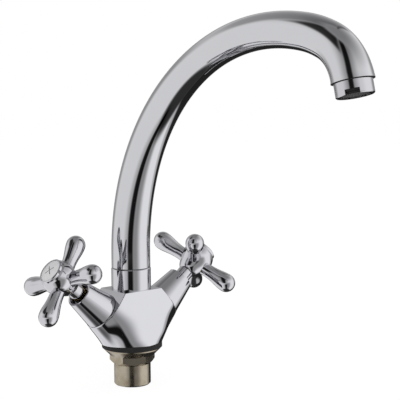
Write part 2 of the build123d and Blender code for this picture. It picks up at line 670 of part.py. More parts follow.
def hub():
    """Neck, bulb, groove and rim, from the plane of the lobes."""
    bulb = Spline((HANDLE_NECK_RADIUS, 0, HUB_START), (HUB_SHOULDER_RADIUS, 0, HUB_SHOULDER),
                  (HUB_RADIUS, 0, HUB_WIDEST), (GROOVE_RADIUS, 0, GROOVE_HEIGHT),
                  tangents=[(1, 0, 0.6), (-0.5, 0, 1)])
    rest = Polyline((GROOVE_RADIUS, 0, GROOVE_HEIGHT), (RIM_RADIUS, 0, RIM_START),
                    (RIM_RADIUS, 0, RIM_TOP - EDGE), (RIM_RADIUS - EDGE, 0, RIM_TOP), (0, 0, RIM_TOP),
                    (0, 0, HANDLE_NECK_START), (HANDLE_NECK_RADIUS, 0, HANDLE_NECK_START),
                    (HANDLE_NECK_RADIUS, 0, HUB_START))
    return revolve(make_face(Wire([bulb.edge()] + list(rest.edges()))), Axis.Z)


def lobe():
    """One pear shaped lobe along +X, its root inside the hub."""
    tip = LOBE_REACH + LOBE_TIP_RADIUS
    slant = sqrt(0.5) * LOBE_TIP_RADIUS
    flank = Spline((LOBE_ROOT, 0, LOBE_ROOT_RADIUS), (2 * LOBE_ROOT, 0, LOBE_ROOT_RADIUS),
                   (LOBE_MIDDLE, 0, LOBE_MIDDLE_RADIUS), (LOBE_REACH, 0, LOBE_TIP_RADIUS),
                   tangents=[(1, 0, 0), (1, 0, 0)])
    end = ThreePointArc((LOBE_REACH, 0, LOBE_TIP_RADIUS), (LOBE_REACH + slant, 0, slant), (tip, 0, 0))
    base = Polyline((tip, 0, 0), (LOBE_ROOT, 0, 0), (LOBE_ROOT, 0, LOBE_ROOT_RADIUS))
    return revolve(make_face(Wire([flank.edge(), end.edge()] + list(base.edges()))), Axis.X)


def lobe_turn(side, quarter):
    """Turn of a lobe about the arm, counted from the front towards the top."""
    front = 0 if side == "hot" else 180
    return front - SIDES[side] * (LOBE_TURN[side] + 90 * quarter)


def handle(side):
    """Hub with four lobes; the socket grips the spindle's serrated head."""
    cross = hub()
    for quarter in range(4):
        cross += Rot(0, 0, lobe_turn(side, quarter)) * lobe()
    cross -= rod(BUTTON_RADIUS + SEATED, BUTTON_SEAT, RIM_TOP + BEYOND)
    cross -= rod(RECESS_RADIUS, RECESS_FLOOR, RIM_TOP)
    cross = on_handle(cross)
    cross -= rod(SCREW_RADIUS + LOOSE, SPLINE_END, HANDLE_PLANE + RECESS_FLOOR + BEYOND)
    socket_start = HANDLE_PLANE + HANDLE_NECK_START - BEYOND
    return cross - serrated(SPLINE_RADIUS + SEATED, socket_start, SPLINE_END + LOOSE)


def index_button(side):
    """Domed cover disc with a thin engraved cross and a snap skirt."""
    dome = ThreePointArc((BUTTON_RADIUS, 0, BUTTON_EDGE),
                         (BUTTON_RADIUS / 2, 0, BUTTON_EDGE + 0.75 * (BUTTON_TOP - BUTTON_EDGE)),
                         (0, 0, BUTTON_TOP))
    sides = Polyline((0, 0, BUTTON_TOP), (0, 0, BUTTON_SEAT), (BUTTON_RADIUS, 0, BUTTON_SEAT),
                     (BUTTON_RADIUS, 0, BUTTON_EDGE))
    button = revolve(make_face(Wire([dome.edge()] + list(sides.edges()))), Axis.Z)
    skirt = RECESS_RADIUS - SEATED
    button += ring(skirt - BUTTON_SKIRT_WALL, skirt, BUTTON_SEAT - BUTTON_SKIRT_HEIGHT, BUTTON_SEAT + EDGE)
    for quarter in (0, 1):
        groove = Box(CROSS_LENGTH, CROSS_WIDTH, BEYOND, align=STANDING)
        turn = lobe_turn(side, quarter) - SIDES[side] * CROSS_TURN
        button -= Rot(0, 0, turn) * Pos(0, 0, BUTTON_TOP - CROSS_DEPTH) * groove
    return on_handle(button)


def handle_screw():
    head_top = RECESS_FLOOR + SCREW_HEAD_HEIGHT
    shaft_end = SPLINE_END - HANDLE_PLANE - SCREW_LENGTH + BEYOND
    screw = rod(SCREW_HEAD_RADIUS, RECESS_FLOOR, head_top)
    screw += rod(SCREW_RADIUS, shaft_end, RECESS_FLOOR + EDGE)
    for turn in (0, 90):
        slot = Box(SCREW_SLOT_LENGTH, SCREW_SLOT_WIDTH, SCREW_HEAD_HEIGHT, align=STANDING)
        screw -= Rot(0, 0, turn) * Pos(0, 0, head_top - SCREW_SLOT_DEPTH) * slot
    return on_handle(screw)


# ---- every node ---------------------------------------------------------------------------------------------

def all_pieces():
    pieces = {
        "base_gasket": base_gasket(),
        "mounting_shank": mounting_shank(),
        "shank_o_ring": shank_o_ring(),
        "mixer_body": mixer_body(),
        "spout_collar": spout_collar(),
        "collar_bearing_ring": collar_bearing_ring(),
        "spout_nipple": spout_nipple(),
        "spout_o_rings": spout_o_rings(),
        "spout_retaining_ring": spout_retaining_ring(),
        "spout_glide_ring": spout_glide_ring(),
        "spout_tube": spout_tube(),
        "aerator_housing": aerator_housing(),
        "aerator_washer": aerator_washer(),
        "aerator_insert": aerator_insert(),
        "aerator_screen": aerator_screen(),
    }
    on_each_arm = {
        "bonnet_sleeve": bonnet_sleeve(),
        "headwork": headwork(),
        "headwork_o_ring": headwork_o_ring(),
        "seat_seal": seat_seal(),
        "fixed_disc": fixed_disc(),
        "rotating_disc": rotating_disc(),
        "spindle": spindle(),
        "spindle_o_rings": spindle_o_rings(),
        "spindle_circlip": spindle_circlip(),
        "friction_washer": friction_washer(),
        "handle_screw": handle_screw(),
    }
    for side in SIDES:
        for name, piece in on_each_arm.items():
            pieces[side + "_" + name] = on_arm(side, piece)
        pieces[side + "_handle"] = on_arm(side, handle(side))
        pieces[side + "_index_button"] = on_arm(side, index_button(side))
    return pieces


os.makedirs("parts", exist_ok=True)
for name, piece in all_pieces().items():
    export_step(piece, "parts/" + name + ".step")
    print(name, round(piece.volume, 1), [round(value, 1) for value in piece.bounding_box().size])
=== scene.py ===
# %% [markdown]
# # A two handle kitchen tap in chrome
# The real object is a cast brass body with two raised arms, a cross handle on each arm and a
# swan neck spout that swivels. Nearly all of it is polished and chrome plated, so the lesson is
# mostly about mirrors: a mirror has no look of its own, it shows the room around it. The
# carried-over model gives every piece its place and shape. Here each piece gets its finish, and
# the body, the spout and the aerator are made again with softer or finer detail.

# %% Open the frame
import math

import bpy
from mathutils import Matrix, Vector


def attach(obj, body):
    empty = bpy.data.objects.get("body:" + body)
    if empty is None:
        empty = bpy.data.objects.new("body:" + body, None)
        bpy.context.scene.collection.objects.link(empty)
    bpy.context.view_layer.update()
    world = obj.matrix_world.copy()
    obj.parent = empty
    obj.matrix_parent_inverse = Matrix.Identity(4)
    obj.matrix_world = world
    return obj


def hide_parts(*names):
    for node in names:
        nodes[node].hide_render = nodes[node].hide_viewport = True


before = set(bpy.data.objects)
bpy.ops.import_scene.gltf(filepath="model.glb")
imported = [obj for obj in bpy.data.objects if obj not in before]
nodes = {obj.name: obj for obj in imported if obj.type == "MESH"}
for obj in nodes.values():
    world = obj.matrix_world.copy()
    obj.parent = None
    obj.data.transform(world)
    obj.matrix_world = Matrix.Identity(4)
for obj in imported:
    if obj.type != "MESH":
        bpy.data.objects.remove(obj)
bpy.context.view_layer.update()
scene = bpy.context.scene
MM = 0.001

# %% [markdown]
# ## Arithmetic on sockets
# Both shaders and Geometry Nodes are networks of small sums. They could be wired by hand in the
# node editor, or spelled out node by node, but then a formula is hard to read. Wrapping a socket
# in a class that knows + - * / lets a network be written as the formula that it is. Everything
# that isn't a sum comes from one method, node().

# %% One class for a socket, one for a tree
class Wire:
    """A node's output that can be used in a sum."""

    def __init__(self, tree, socket):
        self.tree = tree
        self.socket = socket

    def sum(self, operation, *values):
        return self.tree.node("ShaderNodeMath", {"operation": operation}, *values)

    def __add__(self, other):
        return self.sum("ADD", self, other)

    def __sub__(self, other):
        return self.sum("SUBTRACT", self, other)

    def __rsub__(self, other):
        return self.sum("SUBTRACT", other, self)

    def __mul__(self, other):
        return self.sum("MULTIPLY", self, other)

    def __truediv__(self, other):
        return self.sum("DIVIDE", self, other)

    def __pow__(self, other):
        return self.sum("POWER", self, other)

    __radd__ = __add__
    __rmul__ = __mul__

    def rising(self, start, end):
        """0 before start, 1 after end, and smooth between them."""
        return self.tree.node("ShaderNodeMapRange", {"interpolation_type": "SMOOTHSTEP"},
                              self, start, end, 0.0, 1.0)


class Recipe:
    """A node tree that is written one step at a time."""

    def __init__(self, tree):
        self.tree = tree
        tree.nodes.clear()

    def node(self, kind, settings, *values, out=0, **named):
        """Make a node: its settings first, then its sockets in order, then sockets by name."""
        made = self.tree.nodes.new(kind)
        for name, setting in settings.items():
            setattr(made, name, setting)
        sockets = [socket for socket in made.inputs if socket.enabled]
        for socket, value in zip(sockets, values):
            self.plug(socket, value)
        for name, value in named.items():
            wanted = name.replace("_", " ")
            self.plug(next(socket for socket in sockets if socket.name == wanted), value)
        outputs = [socket for socket in made.outputs if socket.enabled]
        if isinstance(out, str):
            return Wire(self, next(socket for socket in outputs if socket.name == out))
        return Wire(self, outputs[out]) if outputs else None

    def plug(self, socket, value):
        """Link a wire, or a list of wires in their order, to a socket, or set its value."""
        if isinstance(value, Wire):
            self.tree.links.new(value.socket, socket)
        elif isinstance(value, list):
            for wire in reversed(value):
                self.tree.links.new(wire.socket, socket)
        else:
            socket.default_value = value

    def mix(self, share, first, second):
        """Share of the way from one colour to another."""
        return self.node("ShaderNodeMix", {"data_type": "RGBA"}, share, first, second)


print("helpers ready")

# %% [markdown]
# ## The studio that the chrome mirrors
# A photographer lights polished metal with what it reflects: a pale tent all round, and black
# cards on stands that draw the dark lines. It could be built from planes with emission, but the
# cards are far away and only their direction matters, so the world's own shader holds them. Each
# card has a compass direction, a width, a soft edge, a lower and an upper height, all in
# degrees, and a shade, where 1 changes nothing and 0 is black. The eye sees steps of brightness
# as even when they are powers, so the shades are multiplied first and raised to 2.2 afterwards.

# %% Cards in the studio
TENT = 0.99
STEP_POWER = 2.2
HALF_TURN = 180.0
CARDS = {
    # direction, half width, edge, low, high, blur, shade
    "ceiling": (0, 200, 1, 52, 120, 30, 0.58),
    "table top": (0, 200, 1, -120, -66, 7, 0.24),
    "tall black card": (-130, 14, 6, -76, -7, 4, 0.17),
    "soft side of the tall card": (-108, 26, 18, -76, 8, 12, 0.64),
    "other side of the tall card": (-150, 12, 12, -76, -7, 6, 0.80),
    "bright gap": (-45, 30, 18, -64, 30, 12, 1.08),
    "wide black card": (37, 37, 6, -68, -10, 6, 0.18),
    "rim of the wide card": (-8, 9, 6, -64, 4, 8, 0.82),
    "wall behind": (48, 56, 14, -14, 22, 8, 0.66),
    "high card at the left": (-152, 13, 6, 6, 66, 5, 0.22),
    "soft edges of the high card": (-152, 32, 28, 3, 65, 8, 0.64),
    "high card behind": (152, 34, 9, 40, 66, 6, 0.28),
    "grey screen": (68, 44, 8, 26, 68, 6, 0.72),
    "edge of the screen": (21, 4, 4, 36, 74, 6, 0.62),
}


def card(azimuth, height, spec):
    """Darkening by one card, from 1 beside it to its shade in its middle."""
    middle, half, edge, low, high, blur, shade = spec
    away = azimuth.sum("PINGPONG", azimuth - middle, HALF_TURN)
    across = 1.0 - away.rising(half - edge, half + edge)
    tall = height.rising(low - blur, low + blur) * (1.0 - height.rising(high - blur, high + blur))
    return 1.0 - across * tall * (1.0 - shade)


world = bpy.data.worlds.new("studio")
world.use_nodes = True
scene.world = world
studio = Recipe(world.node_tree)
direction = studio.node("ShaderNodeTexCoord", {}, out="Generated")
split = studio.node("ShaderNodeSeparateXYZ", {}, direction)
toward_x, toward_y, upward = (Wire(studio, socket) for socket in split.socket.node.outputs)
azimuth = split.sum("DEGREES", split.sum("ARCTAN2", toward_y, toward_x))
height = split.sum("DEGREES", split.sum("ARCSINE", upward))
shade = TENT
for spec in CARDS.values():
    shade = card(azimuth, height, spec) * shade
mirrored = shade ** STEP_POWER
print("cards in the studio:", len(CARDS))

# %% [markdown]
# ## White behind, even light on everything else
# The photograph's background is plain white. Turning lamps up until the background burns out
# would spoil the object, so the world answers each kind of ray by itself: white to the camera,
# the studio with its cards to a mirror, and an even glow to everything matt.

# %% What each ray finds
GLOW = 0.72
WHITE = (1.0, 1.0, 1.0, 1.0)
to_camera = studio.node("ShaderNodeLightPath", {}, out="Is Camera Ray")
to_mirror = Wire(studio, to_camera.socket.node.outputs["Is Glossy Ray"])
seen = to_mirror * mirrored + (1.0 - to_mirror) * GLOW
strength = to_camera + (1.0 - to_camera) * seen
glow = studio.node("ShaderNodeBackground", {}, WHITE, strength)
studio.node("ShaderNodeOutputWorld", {}, glow)
print("world ready")

# %% [markdown]
# ## Floor
# The tap stands on a plain pale floor that runs into the white behind it. A floor that is only
# lit is never quite as white as the background, and a floor that only glows has no shadow, so
# this one is a mix: mostly glow, with enough lit paint to hold a faint shadow. Mirror rays pass
# through it, because in the studio the cards go on below the table's edge.

# %% Lay the floor
FLOOR_HEIGHT = -29.3 * MM
FLOOR_HALF = 4.0
FLOOR_PAINT = (0.86, 0.86, 0.86, 1.0)
FLOOR_GLOW = 1.06
GLOW_SHARE = 0.86
SQUARE = ((-1, -1), (1, -1), (1, 1), (-1, 1))
floor_mesh = bpy.data.meshes.new("floor")
floor_mesh.from_pydata([(x * FLOOR_HALF, y * FLOOR_HALF, FLOOR_HEIGHT) for x, y in SQUARE],
                       [], [(0, 1, 2, 3)])
floor = bpy.data.objects.new("floor", floor_mesh)
scene.collection.objects.link(floor)
floor_material = bpy.data.materials.new("pale_floor")
floor_material.use_nodes = True
paint = Recipe(floor_material.node_tree)
lit = paint.node("ShaderNodeBsdfDiffuse", {}, FLOOR_PAINT)
bright = paint.node("ShaderNodeEmission", {}, WHITE, FLOOR_GLOW)
clear = paint.node("ShaderNodeBsdfTransparent", {})
mirror_ray = paint.node("ShaderNodeLightPath", {}, out="Is Glossy Ray")
surface = paint.node("ShaderNodeMixShader", {}, GLOW_SHARE, lit, bright)
surface = paint.node("ShaderNodeMixShader", {}, mirror_ray, surface, clear)
paint.node("ShaderNodeOutputMaterial", {}, surface)
floor_mesh.materials.append(floor_material)
print("floor at", FLOOR_HEIGHT)

# %% [markdown]
# ## Lamps
# Two wide soft lamps give the rubber and the plastic some shape: a key from the front left and a
# weaker fill from the right. They would show in the chrome as two hard rectangles that the real
# photograph doesn't have, so mirrors don't see them.

# %% Hang the lamps
LAMPS = {
    # place, size in metres, power in watts
    "key": ((-0.9, -1.3, 1.3), 1.2, 9.0),
    "fill": ((1.4, -0.5, 0.9), 1.4, 4.0),
}
AIM = Vector((0.0, -0.08, 0.1))
for name, (place, size, power) in LAMPS.items():
    lamp = bpy.data.lights.new(name, "AREA")
    lamp.size = size
    lamp.energy = power
    hung = bpy.data.objects.new(name, lamp)
    hung.location = place
    hung.rotation_euler = (AIM - Vector(place)).to_track_quat("-Z", "Y").to_euler()
    hung.visible_glossy = False
    scene.collection.objects.link(hung)
scene.view_settings.view_transform = "Standard"
print("lamps:", list(LAMPS))

# %% [markdown]
# ## Camera
# The camera stands where the photographer stood: to the left of the front, nearly as high as the
# swan neck and looking down by seven degrees, with a long lens. It could be placed by eye, but its
# place and turn were worked out from points of the object, so they are given as one matrix.

# %% Set up the camera
LENS = 106.21
FILM_WIDTH = 36.0
CAMERA_PLACE = (-0.518307, -0.718281, 0.215546)
camera_data = bpy.data.cameras.new("camera")
camera_data.lens = LENS
camera_data.sensor_width = FILM_WIDTH
camera_data.clip_start = 0.01
camera = bpy.data.objects.new("camera", camera_data)
to_the_right = Vector((0.774108, -0.633015, -0.006979))
upwards = Vector((0.079046, 0.085715, 0.993179))
backwards = to_the_right.cross(upwards)
turn = Matrix((to_the_right, upwards, backwards)).transposed()
camera.matrix_world = Matrix.Translation(CAMERA_PLACE) @ turn.to_4x4()
scene.collection.objects.link(camera)
scene.camera = camera
print("lens", camera_data.lens, "at", tuple(round(c, 3) for c in camera.location))

# %% [markdown]
# ## A finish and what it reads
# Every finish is a Principled surface. What differs from place to place on the real thing, such
# as polish, handling marks and tool marks, is a pattern in space, so each finish starts from
# Object coordinates, which stay with the piece when it turns. Noise is counted per metre here: a
# scale of 100 has patches of about a centimetre.

# %% Helpers for finishes
finishes = {}


class Finish(Recipe):
    """A material with a Principled surface, kept under the name of its slot."""

    def __init__(self, slot):
        material = bpy.data.materials.new(slot + "_finish")
        material.use_nodes = True
        super().__init__(material.node_tree)
        finishes[slot] = material
        self.place = self.node("ShaderNodeTexCoord", {}, out="Object")

    def noise(self, scale, detail=3.0, stretch=(1.0, 1.0, 1.0)):
        """Cloudy pattern from 0 to 1, stretched along an axis where that number is small."""
        spot = self.node("ShaderNodeMapping", {}, self.place, Scale=stretch)
        return self.node("ShaderNodeTexNoise", {}, Vector=spot, Scale=scale, Detail=detail)

    def bump(self, height, depth):
        """Normal of a surface whose height varies by a depth in metres."""
        return self.node("ShaderNodeBump", {}, Strength=1.0, Distance=depth, Height=height)

    def surface(self, **sockets):
        shader = self.node("ShaderNodeBsdfPrincipled", {}, **sockets)
        self.node("ShaderNodeOutputMaterial", {}, shader)


print("finish helper ready")

# %% [markdown]
# ## Chrome
# Chrome plate is a very thin hard layer over nickel. It reflects about two thirds of the light,
# slightly bluish, and it is as smooth as the metal under it. The parts differ in that metal: the
# drawn spout tube is the truest mirror, the cast body and handles keep a slight waviness from
# the polishing wheel, and the handles carry faint marks of use. One function makes them all,
# with the waviness, the haze and the tint as its numbers.

# %% Mix the chrome finishes
CHROME = {
    # slot: tint, haze, waviness in metres, wiping marks
    "body_chrome": ((0.615, 0.617, 0.648), 0.035, 0.000022, 0.03),
    "collar_chrome": ((0.60, 0.60, 0.63), 0.03, 0.000006, 0.02),
    "spout_chrome": ((0.60, 0.602, 0.625), 0.022, 0.000006, 0.02),
    "sleeve_chrome": ((0.60, 0.60, 0.63), 0.03, 0.000008, 0.02),
    "handle_chrome": ((0.60, 0.60, 0.63), 0.035, 0.000016, 0.04),
    "aerator_chrome": ((0.57, 0.57, 0.60), 0.05, 0.000006, 0.02),
}
CLOUD_SCALE, WIPE_SCALE, WAVE_SCALE = 45.0, 260.0, 38.0
CLOUD_TINT = 0.965
WIPE_DETAIL, WIPE_STRETCH, WIPE_POWER = 5.0, (1.0, 1.0, 0.15), 3.0


def chrome(slot, tint, haze, waviness, wiping):
    finish = Finish(slot)
    cloud = finish.noise(CLOUD_SCALE)
    wiped = finish.noise(WIPE_SCALE, WIPE_DETAIL, WIPE_STRETCH) ** WIPE_POWER
    colour = finish.mix(cloud, (*tint, 1.0), (*(CLOUD_TINT * part for part in tint), 1.0))
    finish.surface(Base_Color=colour, Metallic=1.0, Roughness=cloud * haze + wiped * wiping,
                   Normal=finish.bump(finish.noise(WAVE_SCALE, 1.0), waviness))


for slot, numbers in CHROME.items():
    chrome(slot, *numbers)
print("chrome finishes:", len(CHROME))

# %% [markdown]
# ## Nickel plated and bare brass
# The mounting shank under the deck isn't polished: it is turned brass with a thin nickel layer,
# warmer and duller than chrome, with fine rings from the lathe. The valves inside are bare
# brass. The rings are noise that changes only with height, so it makes lines round the piece,
# and patches of tarnish make the colour uneven.

# %% Mix the turned metals
TURNED = {
    # slot: clean, tarnished, roughness
    "nickel_brass": ((0.40, 0.355, 0.285), (0.31, 0.262, 0.19), 0.14),
    "bare_brass": ((0.78, 0.57, 0.25), (0.55, 0.36, 0.13), 0.22),
}
RING_SCALE, RING_STRETCH, RING_DEPTH = 5200.0, (0.002, 0.002, 1.0), 0.000006
STAIN_SCALE, STAIN_START, STAIN_FULL = 130.0, 0.35, 0.75
STAIN_HAZE, RING_HAZE = 0.12, 0.05
for slot, (clean, tarnished, roughness) in TURNED.items():
    finish = Finish(slot)
    rings = finish.noise(RING_SCALE, 2.0, RING_STRETCH)
    stain = finish.noise(STAIN_SCALE, 4.0).rising(STAIN_START, STAIN_FULL)
    finish.surface(Base_Color=finish.mix(stain, (*clean, 1.0), (*tarnished, 1.0)), Metallic=1.0,
                   Roughness=roughness + stain * STAIN_HAZE + rings * RING_HAZE,
                   Normal=finish.bump(rings, RING_DEPTH))
print("turned metals:", list(TURNED))

# %% [markdown]
# ## Steel pieces
# Three kinds of steel are inside: the woven screen, the handle screws and the springy clips.
# They differ only in brightness and roughness, so one loop makes them. The screen's steel is
# made far darker than the others as painted shade for the aerator's shaded mouth.

# %% Mix the steels
STEELS = {
    # slot: brightness, roughness
    # The screen's low brightness is painted shade for the aerator's dark mouth, not the steel's
    # colour.
    "screen_steel": (0.11, 0.30),
    "screw_steel": (0.46, 0.28),
    "spring_steel": (0.36, 0.32),
}
BRUSH_SCALE, BRUSH_STRETCH, BRUSH_DEPTH = 1800.0, (1.0, 0.1, 1.0), 0.000004
BLUISH, DARKER = 1.02, 0.8
BRUSH_HAZE = 0.12
for slot, (brightness, roughness) in STEELS.items():
    finish = Finish(slot)
    grain = finish.noise(BRUSH_SCALE, 3.0, BRUSH_STRETCH)
    pale = (brightness, brightness, brightness * BLUISH, 1.0)
    dark = (*(DARKER * part for part in pale[:3]), 1.0)
    finish.surface(Base_Color=finish.mix(grain, pale, dark), Metallic=1.0,
                   Roughness=roughness + grain * BRUSH_HAZE,
                   Normal=finish.bump(grain, BRUSH_DEPTH))
print("steels:", list(STEELS))

# %% [markdown]
# ## Rubber, plastics and ceramic
# The base gasket and the rings are black rubber: matt, with a fine moulded grain and a bloom of
# dust that lightens it in patches. The buttons and the flow insert are moulded plastic with a
# very slight texture, and the valve discs are lapped ceramic, nearly as flat as glass.

# %% Mix the matt finishes
MATT = {
    # slot: colour, lighter patches, roughness, grain scale, grain depth, patch scale
    "black_rubber": ((0.006, 0.006, 0.006), (0.011, 0.0105, 0.010), 0.74, 2600.0, 0.00001, 160.0),
    "button_plastic": ((0.62, 0.62, 0.63), (0.66, 0.66, 0.66), 0.24, 1500.0, 0.000004, 90.0),
    "white_plastic": ((0.72, 0.72, 0.70), (0.78, 0.78, 0.76), 0.36, 1400.0, 0.000008, 120.0),
    "grey_plastic": ((0.03, 0.03, 0.033), (0.045, 0.045, 0.05), 0.40, 1400.0, 0.000008, 120.0),
    "black_plastic": ((0.005, 0.005, 0.005), (0.009, 0.009, 0.009), 0.62, 1400.0, 0.000008, 120.0),
    "ceramic": ((0.80, 0.78, 0.73), (0.85, 0.84, 0.80), 0.12, 3000.0, 0.000002, 220.0),
}
PATCH_START, PATCH_FULL = 0.4, 0.7
PATCH_HAZE, GRAIN_HAZE = 0.08, 0.05
for slot, (colour, lighter, roughness, scale, depth, patches) in MATT.items():
    finish = Finish(slot)
    grain = finish.noise(scale, 3.0)
    patch = finish.noise(patches, 4.0).rising(PATCH_START, PATCH_FULL)
    finish.surface(Base_Color=finish.mix(patch, (*colour, 1.0), (*lighter, 1.0)),
                   Roughness=roughness + patch * PATCH_HAZE + grain * GRAIN_HAZE,
                   Normal=finish.bump(grain, depth))
print("matt finishes:", list(MATT))

# %% [markdown]
# ## Paint the carried-over pieces
# The frame's pieces already have the right shape, so each keeps its mesh and only trades the
# plain colour in its slot for the finish of the same name. The aerator's insert is the one
# exception: its white plastic is swapped for black plastic, as painted shade for the dark seen
# through the housing's notch.

# %% Give each piece its finish
painted = 0
for piece in nodes.values():
    for slot in piece.material_slots:
        slot.material = finishes[slot.material.name.split(".")[0]]
        painted += 1
# The insert is painted black: painted shade inside the housing's notch.
for slot in nodes["aerator_insert"].material_slots:
    slot.material = finishes["black_plastic"]
print("slots painted:", painted)

# %% [markdown]
# ## The cast body's skin
# The body is cast in one piece and polished, so its front shield flows into the two arms with
# soft corners, where the frame's model has sharp lines. Joining solids and rounding the seams
# would disturb the mirror. Round the middle axis, though, the body can be seen as one distance
# for every direction and height: the larger of the shield's and the arms' distance, blended
# softly, and cut by the planes that the sleeves sit on. A regular grid of such points gives a
# clean mirror. The sleeves stand 0.4 mm off the seats, with a thin black ring in each joint as
# painted shade.

# %% Work out the body's distance rule
BODY_FOOT, BODY_TOP = 4.0, 45.0
ARM_START = 7.44
SEAT = 37.0
ARM_ANGLE = math.radians(39.5)
ARM_COS, ARM_SIN = math.cos(ARM_ANGLE), math.sin(ARM_ANGLE)
SHIELD = [
    # height, half length, half depth, corner power
    (4.0, 22.4, 22.4, 2.0),
    (12.0, 26.5, 22.3, 2.5),
    (25.7, 34.0, 20.8, 2.7),
    (38.0, 41.0, 17.4, 4.2),
    (45.0, 44.0, 16.0, 6.0),
]
ARM_RADII = [
    # share of the arm's length, radius
    (0.0, 22.4),
    (0.5, 17.2),
    (1.0, 14.3),
]
PAST_THE_SEAT = 1.15
FARTHEST, NEAREST = 60.0, 0.5
HALVINGS = 26
CORNER_BLEND, SEAT_BLEND = 2.2, 0.7


def between(table, place, column):
    """Smooth curve through a column of a table whose first column rises."""
    last = len(table) - 1
    k = max(0, min(last - 1, sum(row[0] <= place for row in table) - 1))

    def slope(index):
        low, high = max(index - 1, 0), min(index + 1, last)
        return (table[high][column] - table[low][column]) / (table[high][0] - table[low][0])

    width = table[k + 1][0] - table[k][0]
    t = (place - table[k][0]) / width
    first, second = table[k][column], table[k + 1][column]
    return ((2 * t ** 3 - 3 * t ** 2 + 1) * first + (t ** 3 - 2 * t ** 2 + t) * width * slope(k)
            + (3 * t ** 2 - 2 * t ** 3) * second + (t ** 3 - t ** 2) * width * slope(k + 1))


def soft_larger(first, second, blend):
    """The larger of two lengths, rounded off where they are nearly equal."""
    near = max(blend - abs(first - second), 0.0) / blend
    return max(first, second) + near * near * blend / 4


def soft_smaller(first, second, blend):
    """The smaller of two lengths, rounded off in the same way."""
    return -soft_larger(-first, -second, blend)


def outside_arm(x, y, z):
    """How far a point is outside the swelling arm at the right, about its slanted middle line."""
    end_x, end_z = SEAT * ARM_COS, ARM_START + SEAT * ARM_SIN
    rise = end_z - BODY_FOOT
    share = (x * end_x + (z - BODY_FOOT) * rise) / (end_x ** 2 + rise ** 2)
    share = max(0.0, min(PAST_THE_SEAT, share))
    away = math.dist((x, y, z), (share * end_x, 0.0, BODY_FOOT + share * rise))
    return away - between(ARM_RADII, share, 1)


def body_distance(turn, z):
    """Distance from the axis to the body's skin for a direction and a height, in millimetres."""
    c, s = abs(math.cos(turn)), abs(math.sin(turn))
    length, depth, power = (between(SHIELD, z, column) for column in (1, 2, 3))
    shield = ((c / length) ** power + (s / depth) ** power) ** (-1 / power)
    inner, outer = 0.0, FARTHEST
    for _ in range(HALVINGS):
        middle = (inner + outer) / 2
        if outside_arm(middle * c, middle * s, z) < 0:
            inner = middle
        else:
            outer = middle
    seat = (SEAT - (z - ARM_START) * ARM_SIN) / ARM_COS / max(c, 1e-6)
    joined = soft_larger(shield, inner, CORNER_BLEND) if inner > NEAREST else shield
    return soft_smaller(joined, seat, SEAT_BLEND)


for side, turn in (("front", -math.pi / 2), ("arm", 0.0)):
    print(side, "25 mm up:", round(body_distance(turn, 25.0), 2), "mm from the axis")

# %% Lay the skin
TURNS = 360
LEVELS = 120
BOTTOM_RADIUS = 14.0
BOSS_RADIUS, BOSS_TOP = 12.0, 54.0


def ring_of(reach, z, count):
    """Points round the axis at a height; reach gives their distance for each direction."""
    angles = [2 * math.pi * step / count for step in range(count)]
    return [(reach(a) * math.cos(a) * MM, reach(a) * math.sin(a) * MM, z * MM) for a in angles]


def stacked(rings):
    """Closed skin through rings of as many points each, from the bottom up."""
    count = len(rings[0])
    faces = [tuple(reversed(range(count)))]
    for low in range(0, (len(rings) - 1) * count, count):
        for step in range(count):
            after = (step + 1) % count
            faces.append((low + step, low + after, low + count + after, low + count + step))
    faces.append(tuple((len(rings) - 1) * count + step for step in range(count)))
    return [point for ring in rings for point in ring], faces


def solid(name, rings):
    """Closed object through rings of points."""
    points, faces = stacked(rings)
    mesh = bpy.data.meshes.new(name)
    mesh.from_pydata(points, [], faces)
    made = bpy.data.objects.new(name, mesh)
    scene.collection.objects.link(made)
    return made


heights = [BODY_FOOT + (BODY_TOP - BODY_FOOT) * level / LEVELS for level in range(LEVELS + 1)]
rings = [ring_of(lambda turn: BOTTOM_RADIUS, BODY_FOOT, TURNS)]
rings += [ring_of(lambda turn: body_distance(turn, z), z, TURNS) for z in heights]
rings += [ring_of(lambda turn: BOSS_RADIUS, z, TURNS) for z in (BODY_TOP, BOSS_TOP)]
body = solid("body_skin", rings)
print("body faces:", len(body.data.polygons))

# %% [markdown]
# ## Bore the body
# Inside the casting, water rises from the shank to the two valve chambers, and from them to the
# spout's socket. The bores are hidden under the sleeves and the collar, but the valves and the
# spout's nipple need their room. Each bore is a turned solid, a stack of circles, that is taken
# away with a Boolean; the circles that it leaves lie in flat faces, so the mirror is unharmed.

# %% Take the bores away
UPRIGHT = Matrix.Identity(4)
BORE_POINTS = 64
INLET_PLACE = 6.5
BODY_CREASE, TUBE_CREASE = 50, 35
BORES = [
    # name, place, radius and height of each circle from the bottom up, in millimetres
    ("spigot_bore", UPRIGHT, [(12.62, 2.0), (12.62, 11.0)]),
    ("spout_socket", UPRIGHT, [(8.0, 22.0), (8.0, 32.0), (9.6, 32.0), (9.6, 56.0)]),
]
ARM_PLACES = {}
for name, sign in (("hot", -1), ("cold", 1)):
    outward = Vector((sign * ARM_COS, 0.0, ARM_SIN))
    across = Vector((0.0, sign, 0.0))
    arm = Matrix((across, outward.cross(across), outward)).transposed().to_4x4()
    ARM_PLACES[name] = Matrix.Translation((0.0, 0.0, ARM_START * MM)) @ arm
    BORES.append((name + "_chamber", ARM_PLACES[name], [
        (3.5, 8.4), (3.5, 14.0), (9.9, 14.0), (9.9, 26.0), (10.48, 26.0), (10.48, 35.6),
        (12.0, 35.6), (12.0, 40.0)]))
    BORES.append((name + "_inlet", Matrix.Translation((sign * INLET_PLACE * MM, 0.0, 0.0)),
                  [(3.5, 10.0), (3.5, 15.5)]))


